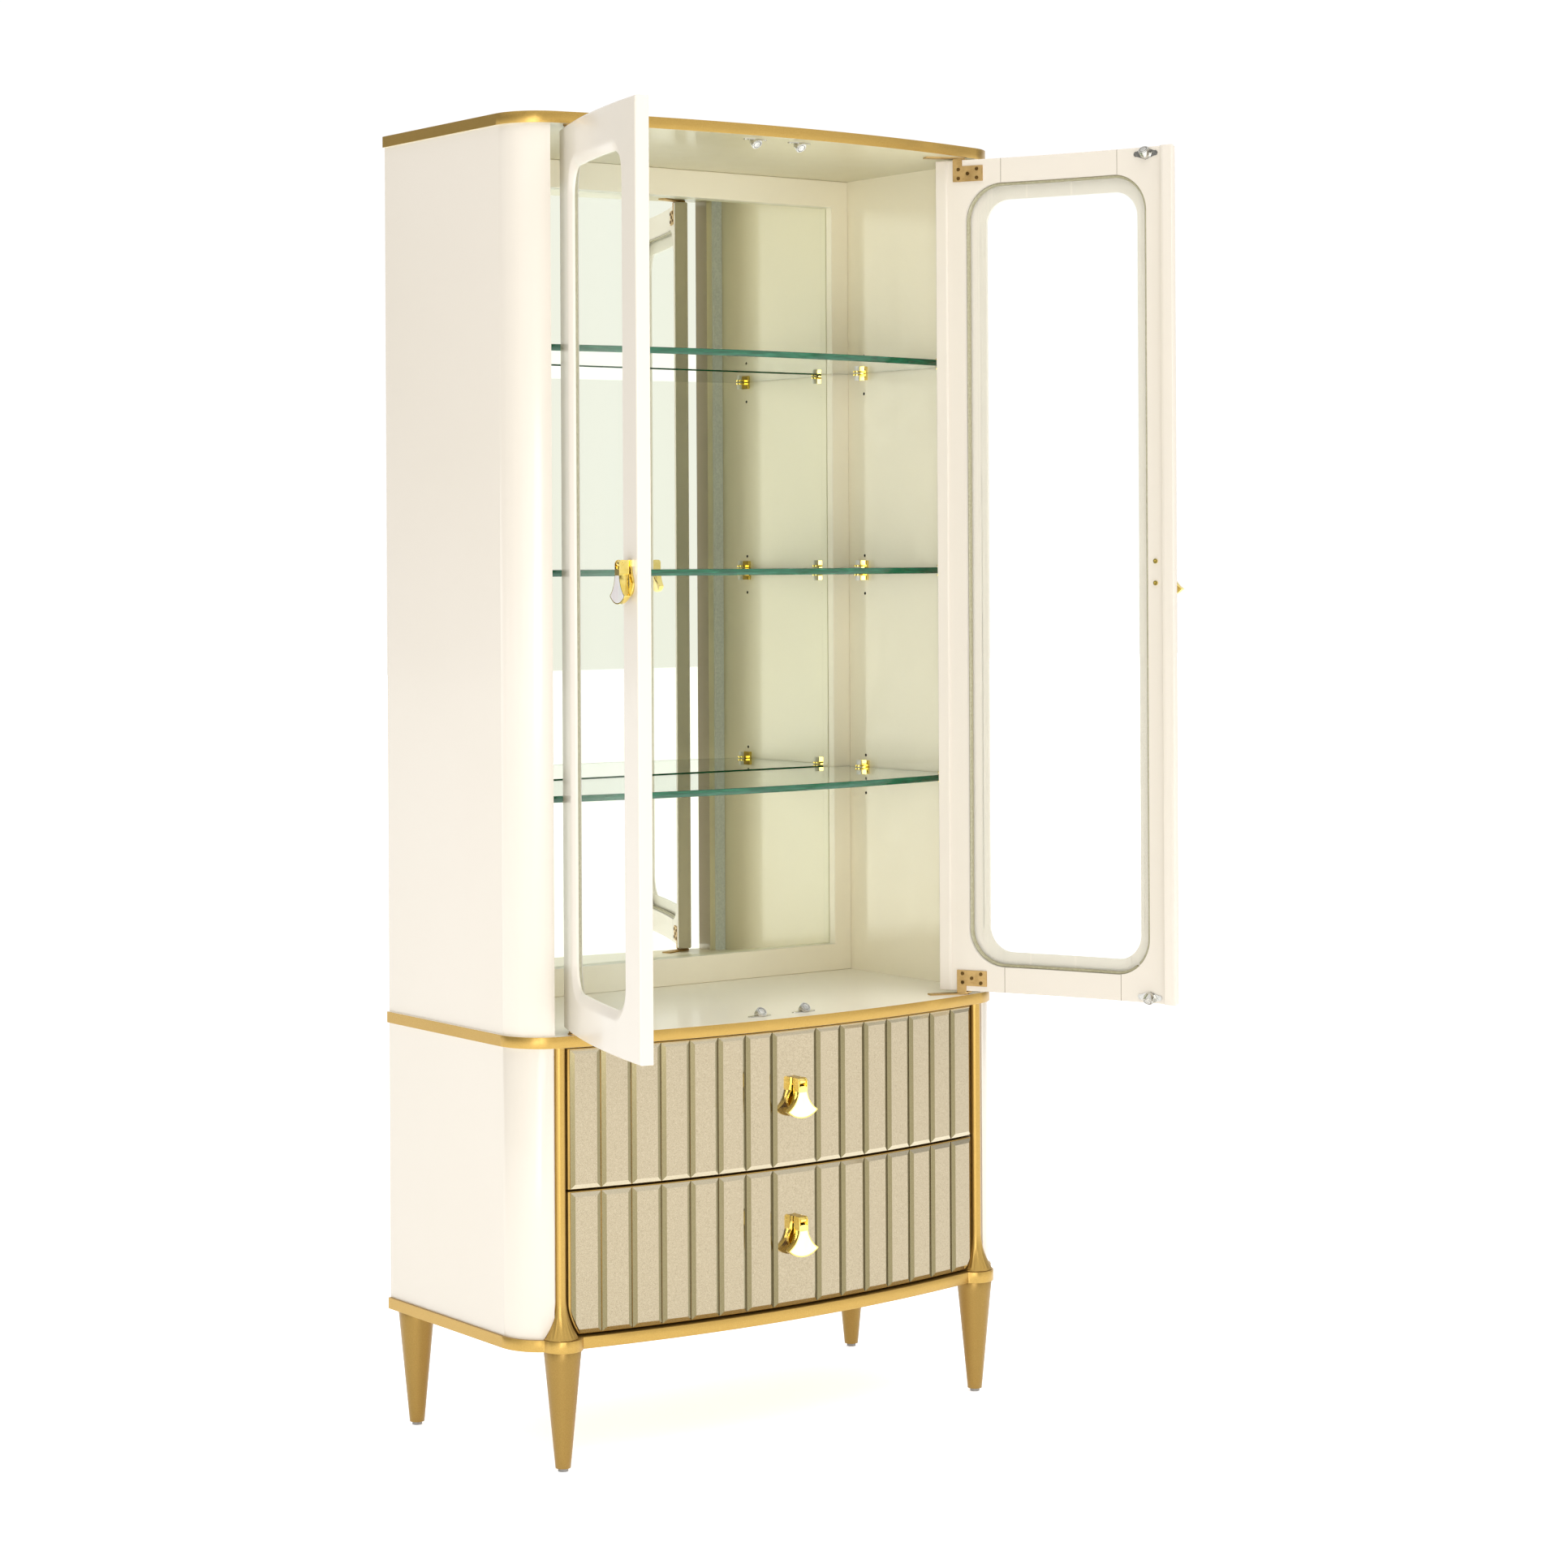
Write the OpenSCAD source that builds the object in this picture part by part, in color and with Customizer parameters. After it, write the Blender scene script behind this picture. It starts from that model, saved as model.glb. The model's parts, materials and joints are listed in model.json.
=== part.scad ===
// Bow-front curio cabinet: glazed double doors over two drawers, on tapered legs.
// Millimetres. Origin: floor level, middle of the back edge. Front is -Y, up is +Z.

/* [Carcass] */
// overall height
height = 2000; // [1800:10:2200]
// overall width across the trims
width = 917.8; // [700:1:1100]
// depth at the middle of the bow
depth = 451.5; // [380:0.5:520]
// plan radius of the bowed front
bow_r = 1816.7; // [1200:10:3000]
// plan radius of the front corners
corner_r = 74.4; // [40:1:110]
// thickness of the top, deck and base boards
trim_t = 17.3; // [12:0.5:25]
// top of the deck that carries the display space
deck_z = 640.4; // [500:1:800]
// top of the base board
base_z = 195.8; // [120:1:260]
// how far the painted side panels sit back from the trims
panel_inset = 4; // [1:0.5:8]
// inner half width of the case
inner_x = 436; // [350:1:500]
// plan depth of the front corner returns
return_d = 35; // [25:1:45]

/* [Legs] */
// leg radius under the base board
leg_top_r = 28.2; // [20:0.5:36]
// leg radius at the foot
leg_foot_r = 11.5; // [8:0.5:20]
// front leg position, across
front_leg_x = 393.5; // [340:0.5:420]
// front leg position, back edge to leg axis
front_leg_y = 397.1; // [340:0.5:420]
// rear leg position, across
rear_leg_x = 426; // [380:0.5:430]
// rear leg position, back edge to leg axis
rear_leg_y = 29.8; // [28:0.5:60]

/* [Doors] */
// door thickness
door_t = 20.8; // [18:0.2:25]
// outer door face behind the trim edge
door_inset = 3; // [1:0.5:6]
// door end beside the side panel
door_end_x = 404.5; // [395:0.5:410]
// door bottom edge
door_z0 = 646.8; // [640:0.2:660]
// door top edge
door_z1 = 1977.8; // [1700:0.2:2100]
// hinge pin, across
pivot_x = 372.4; // [350:0.1:390]
// hinge pin, back edge to pin axis
pivot_y = 399.6; // [380:0.1:410]
// left door opening angle as drawn
left_open = 101.5; // [0:0.5:110]
// right door opening angle as drawn
right_open = 106.6; // [0:0.5:110]

/* [Shelves] */
// glass shelf thickness
shelf_t = 10; // [8:1:12]
// middle height of the lowest shelf
shelf_z = 982; // [900:1:1100]
// spacing of the shelves
shelf_pitch = 338.5; // [250:0.5:400]
// depth of a shelf at its middle, from the back edge of the case
shelf_front = 356; // [330:1:360]

/* [Drawers] */
// half width of a drawer front
drawer_x = 384.5; // [350:0.5:386]
// bottom edge of the lower drawer front
drawer_z0 = 199; // [198:0.5:205]
// top edge of the lower drawer front
drawer_z1 = 409.4; // [380:0.2:420]
// bottom edge of the upper drawer front
drawer_z2 = 412.4; // [383:0.2:423]
// top edge of the upper drawer front
drawer_z3 = 620.4; // [600:0.2:622]
// width of the middle slat
wide_slat = 83.4; // [60:0.2:100]
// bevel width of a slat
slat_bevel = 6.5; // [3:0.5:9]

/* [Hidden] */
$fn = 64;
bow_fn = 720;
half_w = width / 2;
cy = bow_r - depth;
corner_x = half_w - corner_r;
corner_y = cy - sqrt(pow(bow_r - corner_r, 2) - pow(corner_x, 2));
ceiling_z = height - trim_t;
door_ro = bow_r - door_inset;
door_ri = door_ro - door_t;
CREAM = [0.94, 0.91, 0.86];
GOLD = [0.77, 0.6, 0.3];
BRASS = [0.86, 0.7, 0.28];
GLASS = [0.85, 0.93, 0.9];
NICKEL = [0.78, 0.77, 0.72];

// y of a bow of radius r at x
function bow_y(x, r) = cy - sqrt(r * r - x * x);

// ---------- plan shapes ----------

// the cabinet's plan, inset by e all round except at the back
module plan(e = 0) {
  r = bow_r - e;
  u = [corner_x, corner_y - cy] / (bow_r - corner_r);
  t = [u[0] * r, cy + u[1] * r];
  polygon([
    [-half_w + e, 0], [-half_w + e, corner_y], [-corner_x, corner_y], [-t[0], t[1]],
    [t[0], t[1]], [corner_x, corner_y], [half_w - e, corner_y], [half_w - e, 0]
  ]);
  for (s = [-1, 1])
    translate([s * corner_x, corner_y]) circle(corner_r - e);
  intersection() {
    translate([0, cy]) circle(r, $fn = bow_fn);
    translate([-t[0], -depth - 10]) square([2 * t[0], t[1] + depth + 10]);
  }
}

// a slab of the plan between two heights
module board(z0, z1, e = 0) {
  translate([0, 0, z0]) linear_extrude(z1 - z0) plan(e);
}

// a bowed band between radii, cut to x0..x1 and z0..z1
module band(r0, r1, x0, x1, z0, z1) {
  translate([0, 0, z0]) linear_extrude(z1 - z0) intersection() {
    difference() {
      translate([0, cy]) circle(r1, $fn = bow_fn);
      translate([0, cy]) circle(r0, $fn = bow_fn);
    }
    translate([x0, -600]) square([x1 - x0, 550]);
  }
}

// a rounded rectangle from corner to corner
module rrect(x0, z0, x1, z1, r) {
  translate([x0 + r, z0]) square([x1 - x0 - 2 * r, z1 - z0]);
  translate([x0, z0 + r]) square([x1 - x0, z1 - z0 - 2 * r]);
  for (x = [x0 + r, x1 - r])
    for (z = [z0 + r, z1 - r])
      translate([x, z]) circle(r);
}

// a shape drawn in x-z, run through the front from y0 to y1
module through(y0, y1) {
  translate([0, y1, 0]) rotate([90, 0, 0]) linear_extrude(y1 - y0) children();
}

module mirrored() {
  children();
  mirror([1, 0, 0]) children();
}

// ---------- carcass ----------

module top_panel() color(GOLD) board(ceiling_z, height);
module deck_panel() color(GOLD) board(deck_z - trim_t, deck_z);

// the base board swells into a round boss over each front leg
module base_panel() color(GOLD) {
  board(base_z - trim_t, base_z);
  for (s = [-1, 1])
    translate([s * front_leg_x, -front_leg_y, base_z - trim_t]) cylinder(h = trim_t, r = 31);
}

// an upright with a rounded front corner and a return, from x = end_x outwards
module upright(end_x, z0, z1) {
  translate([0, 0, z0]) linear_extrude(z1 - z0) difference() {
    intersection() {
      plan(panel_inset);
      translate([end_x, -600]) square([200, 600]);
    }
    translate([0, -401.5 + return_d]) square([inner_x, 500]);
  }
}

clip_y = [-288, -66];
pin_row_z = -7.2;
pin_pitch = 32;

// the spare pin holes above and below each shelf clip
module side_upper() color(CREAM) difference() {
  upright(406.5, deck_z, ceiling_z);
  for (y = clip_y)
    for (k = [0 : 2])
      for (dz = [-pin_pitch, pin_pitch])
        translate([inner_x - 1, y, shelf_z + k * shelf_pitch + pin_row_z + dz])
          rotate([0, 90, 0]) cylinder(h = 10, r = 2.5);
}

slide_z = [drawer_z0 + 62, drawer_z2 + 62];

// the lower side carries a batten for each slide
module side_lower() color(CREAM) {
  difference() {
    upright(391, base_z, deck_z - trim_t);
    translate([pil_x, pil_y, base_z]) {
      rotate_extrude() flare(0.05);
      translate([0, 0, -1]) cylinder(h = deck_z, r = pil_r + 0.25);
    }
    translate([380, -600, base_z - 1]) cube([29, 600 + pil_y, 500]);
  }
  for (z = slide_z)
    translate([388, -366.5, z - 26]) cube([inner_x - 388, 330, 52]);
}

module left_side_upper() mirror([1, 0, 0]) side_upper();
module right_side_upper() side_upper();
module left_side_lower() mirror([1, 0, 0]) side_lower();
module right_side_lower() side_lower();

frame_face = -23;
mirror_y = -7;

module upper_back() color(CREAM)
  translate([-inner_x, -3, deck_z]) cube([2 * inner_x, 3, ceiling_z - deck_z]);
module lower_back() color(CREAM)
  translate([-inner_x, -9, base_z]) cube([2 * inner_x, 8, deck_z - trim_t - base_z]);

module mirror_frame() color(CREAM) difference() {
  translate([-inner_x, frame_face, deck_z]) cube([2 * inner_x, -3 - frame_face, ceiling_z - deck_z]);
  translate([-401, frame_face - 1, deck_z + 45]) cube([802, 30, ceiling_z - deck_z - 90]);
  translate([-415, mirror_y, deck_z + 31]) cube([830, 10, ceiling_z - deck_z - 62]);
}
module back_mirror() color([0.9, 0.93, 0.93])
  translate([-415, mirror_y, deck_z + 31]) cube([830, 4, ceiling_z - deck_z - 62]);

// ---------- pilasters and legs ----------

pil_x = 397;
pil_y = -397.5;
pil_r = 8.5;
flare_h = 60;
flare_r = 27;
flare_arc = ((flare_r - pil_r) * (flare_r - pil_r) + flare_h * flare_h) / (2 * (flare_r - pil_r));

// half profile of the trumpet foot in r-z, grown by c
module flare(c = 0) difference() {
  square([flare_r + c, flare_h]);
  translate([pil_r + flare_arc, flare_h]) circle(flare_arc - c, $fn = 128);
}

module pilaster_solid() translate([pil_x, pil_y, base_z]) {
  cylinder(h = deck_z - trim_t - base_z, r = pil_r);
  rotate_extrude() flare();
}
module pilasters() color(GOLD) mirrored() pilaster_solid();

module each_leg() {
  for (s = [-1, 1]) {
    translate([s * front_leg_x, -front_leg_y, 0]) children();
    translate([s * rear_leg_x, -rear_leg_y, 0]) children();
  }
}
module legs() color(GOLD) each_leg() difference() {
  translate([0, 0, 5]) cylinder(h = base_z - trim_t - 5, r1 = leg_foot_r, r2 = leg_top_r);
  translate([0, 0, 4]) cylinder(h = 13, r = 3);
}
module leg_glides() color([0.45, 0.43, 0.4]) each_leg() {
  cylinder(h = 5, r = 7.5);
  translate([0, 0, 4]) cylinder(h = 12, r = 3);
}

// ---------- shelves ----------

shelf_x = 431.5;
module shelf(k) color(GLASS)
  translate([0, 0, shelf_z + k * shelf_pitch - shelf_t / 2]) linear_extrude(shelf_t)
    intersection() {
      translate([0, bow_r - shelf_front]) circle(bow_r, $fn = bow_fn);
      translate([-shelf_x, -500]) square([2 * shelf_x, 475]);
    }
module lower_shelf() shelf(0);
module middle_shelf() shelf(1);
module upper_shelf() shelf(2);

module each_clip() for (s = [0, 1]) mirror([s, 0, 0])
  for (y = clip_y)
    for (k = [0 : 2])
      translate([inner_x, y, shelf_z + k * shelf_pitch]) children();

jaw_x = 15;
jaw_t = 3;
washer_t = 1;
jaw_z = shelf_t / 2 + washer_t;
block_t = 4.4;

// a clamp: wall block with a round jaw above and below the glass
module shelf_clips() color(BRASS) each_clip() {
  translate([-block_t, -10, -16.5]) cube([block_t, 20, 33]);
  for (s = [0, 1]) mirror([0, 0, s]) {
    translate([-jaw_x, 0, jaw_z]) cylinder(h = jaw_t, r = 6.6);
    translate([-jaw_x, -5, jaw_z]) cube([jaw_x - block_t + 1, 10, jaw_t]);
  }
}

// a nylon washer between each jaw and the glass, and a nylon knob on the jaw
module shelf_clip_pads() color([0.95, 0.95, 0.93]) each_clip()
  for (s = [0, 1]) mirror([0, 0, s]) {
    translate([-jaw_x, 0, shelf_t / 2]) cylinder(h = washer_t, r = 5.8);
    translate([-jaw_x, 0, jaw_z + jaw_t]) cylinder(h = 8, r = 4.2);
  }

// ---------- catches ----------

catch_x = 42;
ear_x = 17;
dome_r = 8.5;
dome_z = 3;
dome_reach = 8.5;
catch_gap = 0.6;
// from one dome's middle to its partner's, along y and along z, when the door is closed
catch_step = (2 * dome_reach + catch_gap) / sqrt(2);

// eared base plate of a magnetic catch, on z = 0, with two countersunk screws
module catch_base() {
  difference() {
    linear_extrude(1.4) {
      polygon([[-ear_x, -3.5], [0, -9.3], [ear_x, -3.5], [ear_x, 3.5], [0, 9.3], [-ear_x, 3.5]]);
      for (s = [-1, 1])
        translate([s * ear_x, 0]) circle(4.2);
    }
    for (s = [-1, 1])
      translate([s * ear_x, 0, 0.6]) cylinder(h = 2, r = 2.6);
  }
  for (s = [-1, 1])
    translate([s * ear_x, 0, 0.5]) cylinder(h = 0.8, r = 2.5);
}

// half profile of the domed housing, with the groove round its magnet
module dome_profile() difference() {
  union() {
    intersection() {
      circle(dome_r);
      translate([0, -dome_r - 1]) square([dome_r + 1, dome_r + 2]);
    }
    square([dome_r, dome_reach - 1]);
    square([dome_r - 1, dome_reach]);
  }
  translate([5.2, dome_reach - 2]) square([1, 3]);
}

// a catch on z = 0: its magnet looks up and to the front at 45 degrees
module catch() {
  catch_base();
  intersection() {
    translate([0, 0, dome_z]) rotate([45, 0, 0]) rotate_extrude() dome_profile();
    translate([-20, -20, 0.5]) cube([40, 40, 30]);
  }
}

// on the deck and the ceiling
module cabinet_catches() color(NICKEL) {
  y = bow_y(catch_x, door_ri) + dome_z + catch_step;
  for (x = [-catch_x, catch_x]) {
    translate([x, y, deck_z]) catch();
    translate([x, y, ceiling_z]) mirror([0, 0, 1]) catch();
  }
}

// on the back of the door, each magnet turned to meet its partner's
module door_catches() color(NICKEL)
  translate([0, cy, 0]) rotate(asin(catch_x / door_ri)) translate([0, 0.15 - door_ri, 0]) {
    translate([0, 0, ceiling_z - dome_z - catch_step]) rotate([-90, 0, 0]) catch();
    translate([0, 0, deck_z + dome_z + catch_step])
      mirror([0, 0, 1]) rotate([-90, 0, 0]) catch();
  }

// ---------- hinges ----------

plate_t = 2;
pin_r = 3;

// fixed plate on the deck, with the hinge pin; mirrored up to the ceiling
module jamb_plate() {
  difference() {
    union() {
      rotate(158) translate([0, -8.4, 0]) cube([58, 16.8, plate_t]);
      cylinder(h = plate_t, r = 9);
      cylinder(h = 4.6, r = pin_r);
    }
    rotate(158) for (x = [22, 46])
      translate([x, 0, 0.8]) cylinder(h = 3, r = 3.4);
  }
  rotate(158) for (x = [22, 46])
    translate([x, 0, 0.8]) cylinder(h = 1.1, r = 3.3);
}
module hinge_jamb_plates() color(GOLD) mirrored() {
  translate([pivot_x, -pivot_y, deck_z]) jamb_plate();
  translate([pivot_x, -pivot_y, ceiling_z]) mirror([0, 0, 1]) jamb_plate();
}

leaf_t = 2.4;
leaf_x0 = 326;
leaf_x1 = 375.5;
// a cranked leaf on the back of the door, its tongue running under the door to the pin
module leaf() {
  difference() {
    union() {
      band(door_ri - leaf_t, door_ri, leaf_x0, leaf_x1, 655.2, 680);
      band(door_ri - leaf_t, door_ri, 361, leaf_x1, 643, 660);
      band(door_ri - leaf_t, door_ro - 6, 361, leaf_x1, 643, 645);
      translate([pivot_x, -pivot_y, 643]) cylinder(h = 2, r = 7.5);
    }
    translate([pivot_x, -pivot_y, 640]) cylinder(h = 8, r = pin_r + 0.15);
  }
  for (p = [[335, 660.5], [335, 674.7], [350.5, 667.6], [366, 660.5], [366, 674.7]])
    translate([p[0], bow_y(p[0], door_ri - leaf_t) - 0.3, p[1]]) rotate([-90, 0, 0])
      difference() {
        cylinder(h = 1.5, r = 2.9);
        translate([0, 0, 0.8]) cylinder(h = 2, r = 1.1);
      }
}
module hinge_leaves() color(GOLD) {
  leaf();
  translate([0, 0, deck_z + ceiling_z]) mirror([0, 0, 1]) leaf();
}

// ---------- doors, drawn closed at the right-hand side ----------

win_x0 = 64;
win_x1 = 327;
win_z0 = 711;
win_z1 = 1912;
reb_x0 = 42;
reb_x1 = 356;
reb_z0 = 687.5;
reb_z1 = 1938.7;
rail_x0 = 93.5;
rail_x1 = 295.6;
free_x = 1.5;
lip_t = 9.8;
glass_t = 4;

module window() through(-500, -340) rrect(win_x0, win_z0, win_x1, win_z1, 40);
module rebate(c = 0) through(-500, -340)
  rrect(reb_x0 + c, reb_z0 + c, reb_x1 - c, reb_z1 - c, 60 - c);

// the frame between x0 and x1, moulded in steps on the front and rebated behind
module door_frame(x0, x1) difference() {
  union() {
    band(door_ri, door_ro, x0, x1, door_z0, door_z1);
    if (x1 > 400)
      band(door_ri - 3, door_ri, 386, x1, door_z0, door_z1);
  }
  window();
  for (k = [0 : 2])
    intersection() {
      through(-500, -340)
        rrect(52.5 + 3.8 * k, 695 + 5 * k, 337 - 3.3 * k, 1929 - 5.5 * k, 52 - 4 * k);
      band(door_ro - 2 * k - 2, door_ro + 5, 10, 390, 660, 1970);
    }
  intersection() {
    rebate();
    band(door_ri - 5, door_ro - lip_t, 10, 390, 660, 1970);
  }
}

pull_x = 28.6;
pull_z = 1340;

module lock_stile() color(CREAM) difference() {
  door_frame(free_x, rail_x0);
  translate([0, cy, pull_z]) rotate(asin(pull_x / door_ro)) for (z = pull_screw_z)
    translate([0, -door_ro - 5, z]) rotate([-90, 0, 0]) cylinder(h = 60, r = 2.2);
}
module hinge_stile() color(CREAM) door_frame(rail_x1, door_end_x);
module top_rail() color(CREAM) intersection() {
  door_frame(rail_x0, rail_x1);
  translate([0, -600, 1400]) cube([500, 600, 800]);
}
module bottom_rail() color(CREAM) intersection() {
  door_frame(rail_x0, rail_x1);
  translate([0, -600, 500]) cube([500, 600, 700]);
}
module glass() color(GLASS) intersection() {
  rebate(1);
  band(door_ro - lip_t - glass_t, door_ro - lip_t, 10, 390, 660, 1970);
}
module glass_bead() color([0.75, 0.74, 0.68]) difference() {
  intersection() {
    rebate();
    band(door_ri + 1.5, door_ro - lip_t - glass_t, 10, 390, 660, 1970);
  }
  rebate(7.5);
}
// strip on the back of the right door that laps behind the left one
module lap_strip() color(CREAM) {
  band(door_ri - 8, door_ri, free_x, 12.5, door_z0, door_z1);
  band(door_ri - 8, door_ri - 1, -7.5, free_x, door_z0, door_z1);
}

// place a closed right-hand door piece as drawn: side 1 right, side -1 left
module hung(side) {
  a = side > 0 ? right_open : -left_open;
  translate([side * pivot_x, -pivot_y, 0]) rotate(a) translate([-side * pivot_x, pivot_y, 0])
    mirror([side < 0 ? 1 : 0, 0, 0]) children();
}

module left_hinge_stile() hung(-1) hinge_stile();
module left_lock_stile() hung(-1) lock_stile();
module left_top_rail() hung(-1) top_rail();
module left_bottom_rail() hung(-1) bottom_rail();
module left_glass() hung(-1) glass();
module left_glass_bead() hung(-1) glass_bead();
module left_hinge_leaves() hung(-1) hinge_leaves();
module left_door_catches() hung(-1) door_catches();
module right_hinge_stile() hung(1) hinge_stile();
module right_lock_stile() hung(1) lock_stile();
module right_top_rail() hung(1) top_rail();
module right_bottom_rail() hung(1) bottom_rail();
module right_glass() hung(1) glass();
module right_glass_bead() hung(1) glass_bead();
module right_hinge_leaves() hung(1) hinge_leaves();
module right_door_catches() hung(1) door_catches();
module right_lap_strip() hung(1) lap_strip();

// light channel on the back of each corner return
module light_channels() color([0.7, 0.7, 0.68]) mirrored()
  translate([418, -401.5 + return_d, deck_z]) cube([16, 8, ceiling_z - deck_z]);

// ---------- pulls: origin at the top of the plate, on the mounting face ----------

pull_screw_z = [-6, -40];
drop_pin_r = 1.5;
pin_y = -13.7;
pin_z = -5;

module bell(e = 0) {
  translate([0, -33.5]) circle(17.3 - e);
  polygon([
    [-8.5 + e, -e], [8.5 - e, -e], [9 - e, -9], [11.2 - e, -19], [16.2 - e, -29], [14 - e, -40],
    [-14 + e, -40], [-16.2 + e, -29], [-11.2 + e, -19], [-9 + e, -9]
  ]);
}

module pull_plate(grip) color(BRASS) {
  difference() {
    union() {
      through(-1.6, 0) bell();
      difference() {
        through(-2.8, -1.5) bell();
        through(-5, 0) bell(1.6);
      }
      translate([-4.9, pin_y, pin_z - 5]) cube([9.8, -pin_y, 10]);
      translate([-4.9, pin_y, pin_z]) rotate([0, 90, 0]) cylinder(h = 9.8, r = 5);
    }
    translate([-6, pin_y, pin_z]) rotate([0, 90, 0]) cylinder(h = 12, r = drop_pin_r);
    for (z = pull_screw_z)
      translate([0, -1, z]) rotate([-90, 0, 0]) cylinder(h = 12, r = 2);
  }
  translate([-8.5, pin_y, pin_z]) rotate([0, 90, 0]) cylinder(h = 17, r = drop_pin_r);
  // two screws through from behind, heads inside
  for (z = pull_screw_z)
    translate([0, -1, z]) rotate([-90, 0, 0]) {
      cylinder(h = grip + 1, r = 2);
      translate([0, 0, grip + 1]) difference() {
        cylinder(h = 2, r = 3.8);
        translate([0, 0, 1]) cylinder(h = 2, r = 1.2, $fn = 6);
      }
    }
}

module fan(e = 0) intersection() {
  difference() {
    polygon([
      [-8.5 + e, -17 - 2.5 * e], [8.5 - e, -17 - 2.5 * e], [40, -49], [30, -62],
      [-30, -62], [-40, -49]
    ]);
    for (s = [-1, 1])
      translate([s * 47.9, -14.5]) circle(40 + e, $fn = 128);
  }
  translate([0, -21]) circle(40 - e, $fn = 128);
}
module inlay_shape() intersection() {
  difference() {
    translate([-30, -64]) square([60, 42.5]);
    for (s = [-1, 1])
      translate([s * 47.9, -14.5]) circle(41.6, $fn = 128);
  }
  translate([0, -21]) circle(38.2, $fn = 128);
}

// bell-shaped drop: a forked head on the pin over a fan that thins towards its foot
module pendant() color(BRASS) difference() {
  union() {
    intersection() {
      through(-19.1, -4.7) fan();
      rotate([90, 0, 90]) translate([0, 0, -40]) linear_extrude(80)
        polygon([[-19.1, -15], [-4.7, -15], [-4.7, -19.6], [-12.6, -62], [-19.1, -62]]);
    }
    translate([-8.5, -19.1, -19.6]) cube([17, 14.4, 14.6]);
    translate([-8.5, pin_y, pin_z]) cube([17, 9, 5]);
    translate([-8.5, pin_y, pin_z]) rotate([0, 90, 0]) cylinder(h = 17, r = 5.4);
  }
  translate([-5.2, -25, -12]) cube([10.4, 30, 20]);
  for (s = [-1, 1])
    translate([s * 6.1 - 1.1, -25, -13]) cube([2.2, 9, 9]);
  translate([-10, pin_y, pin_z]) rotate([0, 90, 0]) cylinder(h = 20, r = drop_pin_r + 0.15);
  through(-25, -17.3) inlay_shape();
}
module inlay() color([0.96, 0.94, 0.93]) through(-19.1, -17.3) inlay_shape();

// onto the door's bowed face, square to it
module at_door_pull(side) hung(side)
  translate([0, cy, pull_z]) rotate(asin(pull_x / door_ro)) translate([0, -door_ro - 0.1, 0])
    children();
module left_pull_plate() at_door_pull(-1) pull_plate(door_t + 0.1);
module right_pull_plate() at_door_pull(1) pull_plate(door_t + 0.1);
module left_pendant() at_door_pull(-1) pendant();
module left_inlay() at_door_pull(-1) inlay();
module right_pendant() at_door_pull(1) pendant();
module right_inlay() at_door_pull(1) inlay();

// ---------- drawers ----------

slat_r = bow_r - 5;
slat_t = 5;
board_r = slat_r - slat_t;
board_t = 16;
drawer_pull_z = [336.7, 548.2];
slat_n = 7;
slat_w = (drawer_x - 1.2 - wide_slat / 2) / slat_n;

// the drawer front's outline in x-z, drawn clear of the trumpet feet by c
module front_outline(z0, z1, c) difference() {
  translate([-drawer_x, z0]) square([2 * drawer_x, z1 - z0]);
  for (s = [0, 1]) mirror([s, 0])
    translate([pil_x, base_z]) mirror([1, 0]) flare(c);
}

module drawer_front(z0, z1) color(GOLD) intersection() {
  band(board_r - board_t, board_r, -drawer_x, drawer_x, z0, z1);
  through(-500, -300) front_outline(z0, z1, 3);
}

// one bevelled slat on its tangent plane, w wide and centred at x
module slat(x, w, z0, z1) translate([0, cy, 0]) rotate(asin(x / slat_r))
  translate([0, -slat_r, 0]) intersection() {
    translate([0, 0, z0]) linear_extrude(z1 - z0) polygon([
      [-w / 2, slat_t], [-w / 2, 3.2], [-w / 2 + slat_bevel, 0], [w / 2 - slat_bevel, 0],
      [w / 2, 3.2], [w / 2, slat_t]
    ]);
    rotate([90, 0, 90]) translate([0, 0, -w]) linear_extrude(2 * w) polygon([
      [slat_t, z0], [3.2, z0], [0, z0 + slat_bevel], [0, z1 - slat_bevel], [3.2, z1], [slat_t, z1]
    ]);
  }
module slats(z0, z1) color([0.8, 0.75, 0.62]) intersection() {
  union() {
    slat(0, wide_slat - 0.8, z0 + 1.2, z1 - 1.2);
    for (s = [-1, 1])
      for (k = [0 : slat_n - 1])
        slat(s * (wide_slat / 2 + slat_w * (k + 0.5)), slat_w - 0.8, z0 + 1.2, z1 - 1.2);
  }
  through(-500, -300) front_outline(z0, z1, 4.5);
}

module drawer_bores(k) for (z = pull_screw_z)
  translate([0, -470, drawer_pull_z[k] + z]) rotate([-90, 0, 0]) cylinder(h = 60, r = 2.2);

box_x = 374.5;
module drawer_box(z0) color([0.9, 0.86, 0.76]) intersection() {
  difference() {
    translate([-box_x, -440, z0 + 22]) cube([2 * box_x, 400, 130]);
    translate([-box_x + 12, -460, z0 + 30]) cube([2 * box_x - 24, 408, 200]);
  }
  translate([0, cy, 0]) cylinder(h = 1000, r = board_r - board_t, $fn = bow_fn);
}

// two-part side slides: grooved rail on the carcass, tongued runner on the drawer
rail_len = 320;
module slide_rails() color([0.6, 0.62, 0.64]) mirrored()
  for (z = slide_z)
    translate([380.4, -364, z - 20]) difference() {
      cube([7.6, rail_len, 40]);
      translate([-1, -1, 7.6]) cube([5.6, rail_len + 2, 24.8]);
    }
module runners(z) color([0.66, 0.68, 0.7]) mirrored() {
  translate([box_x, -368, z - 16]) cube([3, rail_len, 32]);
  translate([box_x + 2.9, -368, z - 12]) cube([6.6, rail_len, 24]);
}

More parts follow.
